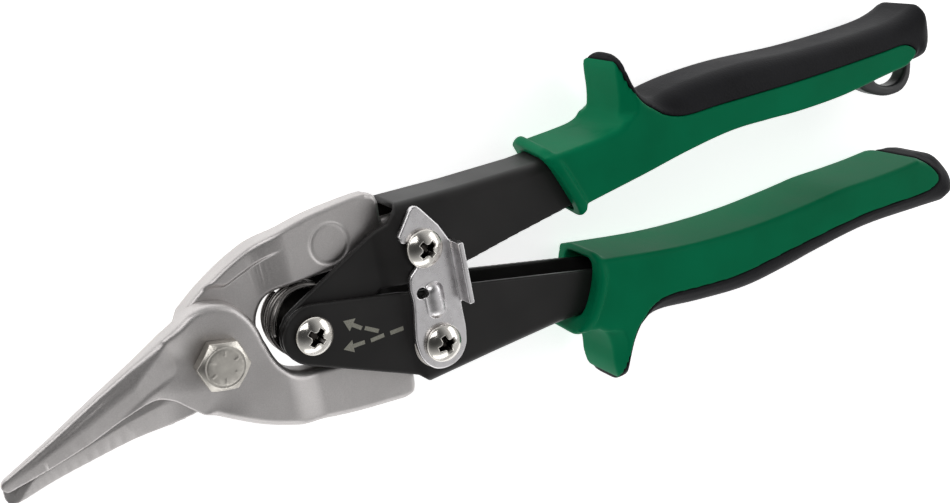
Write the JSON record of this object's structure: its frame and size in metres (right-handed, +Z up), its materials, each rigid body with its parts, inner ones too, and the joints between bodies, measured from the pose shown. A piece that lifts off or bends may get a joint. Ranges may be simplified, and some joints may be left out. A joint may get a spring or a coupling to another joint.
{
  "type": "aviation snips",
  "caption": "Compound-action aviation snips with forged jaws, pressed handles, a swinging latch and two-tone grips with finger guards and a hanging loop.",
  "frame": {"origin": "under the middle of the tool, on the surface it lies on", "axes": "+X from the jaw tip towards the grips, +Y from the lower to the upper handle, +Z up through the pivots to the face that carries the latch"},
  "size_m": [0.2542, 0.0786, 0.0242],
  "materials": {
    "blade_steel": "satin, bead blasted, with bright ground edges",
    "bolt_steel": "bright zinc",
    "handle_paint": "satin black",
    "screw_nickel": "bright nickel plate",
    "spring_steel": "drawn wire",
    "latch_zinc": "bright zinc plate",
    "grip_shell": "smooth moulded green",
    "grip_cover": "soft fine-grained black",
    "grip_loop": "moulded black"
  },
  "bodies": {
    "lower_handle": {"lower_handle_frame": "handle_paint", "lower_grip_shell": "grip_shell", "lower_grip_cover": "grip_cover", "handle_pivot_screw": "screw_nickel", "handle_pivot_nut": "screw_nickel", "spring_sleeve": "screw_nickel", "opening_spring": "spring_steel", "lower_link_screw": "screw_nickel", "lower_link_nut": "screw_nickel", "lower_link_sleeve": "bolt_steel", "lower_link_spacers": "bolt_steel", "latch_washer": "screw_nickel"},
    "upper_handle": {"upper_handle_frame": "handle_paint", "upper_grip_shell": "grip_shell", "upper_grip_cover": "grip_cover", "hang_loop": "grip_loop", "upper_link_screw": "screw_nickel", "upper_link_nut": "screw_nickel", "upper_link_sleeve": "bolt_steel", "upper_link_spacers": "bolt_steel"},
    "front_blade": {"front_blade": "blade_steel", "pivot_bolt": "bolt_steel", "pivot_washer": "bolt_steel", "pivot_lock_nut": "bolt_steel"},
    "rear_blade": {"rear_blade": "blade_steel"},
    "latch": {"latch_plate": "latch_zinc"}
  },
  "joints": [
    {"name": "handle_pivot", "type": "hinge", "parent": "lower_handle", "child": "upper_handle", "pos_m": [-0.061, 0, 0.0116], "axis": [0, 0, 1], "range_deg": [0, 32]},
    {"name": "front_blade_link", "type": "hinge", "parent": "lower_handle", "child": "front_blade", "pos_m": [-0.0338, -0.011, 0.0116], "axis": [0, 0, 1], "range_deg": [0, 7.67]},
    {"name": "blade_pivot", "type": "hinge", "parent": "front_blade", "child": "rear_blade", "pos_m": [-0.081, 0.0009, 0.0116], "axis": [0, 0, 1], "range_deg": [0, 17.56]},
    {"name": "latch_pivot", "type": "hinge", "parent": "lower_handle", "child": "latch", "pos_m": [-0.0338, -0.011, 0.0116], "axis": [0, 0, 1], "range_deg": [-48, 0]}
  ],
  "couplings": [
    {"joint": "front_blade_link", "follows": "handle_pivot", "ratio": 0.23943},
    {"joint": "blade_pivot", "follows": "handle_pivot", "ratio": 0.54835},
    {"joint": "latch_pivot", "follows": "handle_pivot", "ratio": -1.5}
  ]
}
